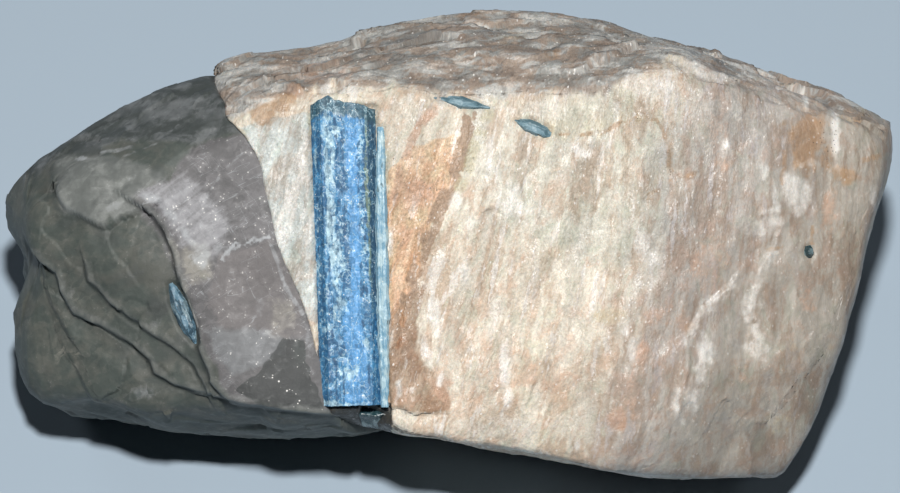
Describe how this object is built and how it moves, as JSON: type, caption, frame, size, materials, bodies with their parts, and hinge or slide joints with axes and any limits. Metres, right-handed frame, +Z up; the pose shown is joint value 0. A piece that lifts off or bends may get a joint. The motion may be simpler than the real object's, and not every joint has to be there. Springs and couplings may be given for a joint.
{
  "type": "aquamarine in matrix",
  "caption": "Hand specimen of a long blue beryl crystal lying in the broken face of pale feldspar, with a mass of smoky quartz grown on one end.",
  "frame": {"origin": "centre of the stone's outline at the level of its flat base", "axes": "+X along the stone's length from the quartz end to the feldspar end, +Z up, -Y towards the broken face with the long crystal"},
  "size_m": [0.1108, 0.0602, 0.0529],
  "materials": {
    "feldspar": "rough broken cleavage, cream to salmon, with pearly glints",
    "smoky_quartz": "greasy to glassy broken surface, translucent grey",
    "aquamarine": "glassy, lengthwise striations and cross cracks",
    "pale_aquamarine": "glassy, pale and translucent",
    "dark_beryl": "glassy, dark blue-green"
  },
  "bodies": {
    "root": {"feldspar_matrix": "feldspar", "quartz_mass": "smoky_quartz", "aquamarine_prism": "aquamarine", "pale_aquamarine_sliver": "pale_aquamarine", "aquamarine_stub": "dark_beryl", "aquamarine_spindle_by_ridge": "pale_aquamarine", "aquamarine_spindle_on_face": "pale_aquamarine", "aquamarine_wedge_in_quartz": "pale_aquamarine", "beryl_grain": "dark_beryl"}
  },
  "joints": []
}
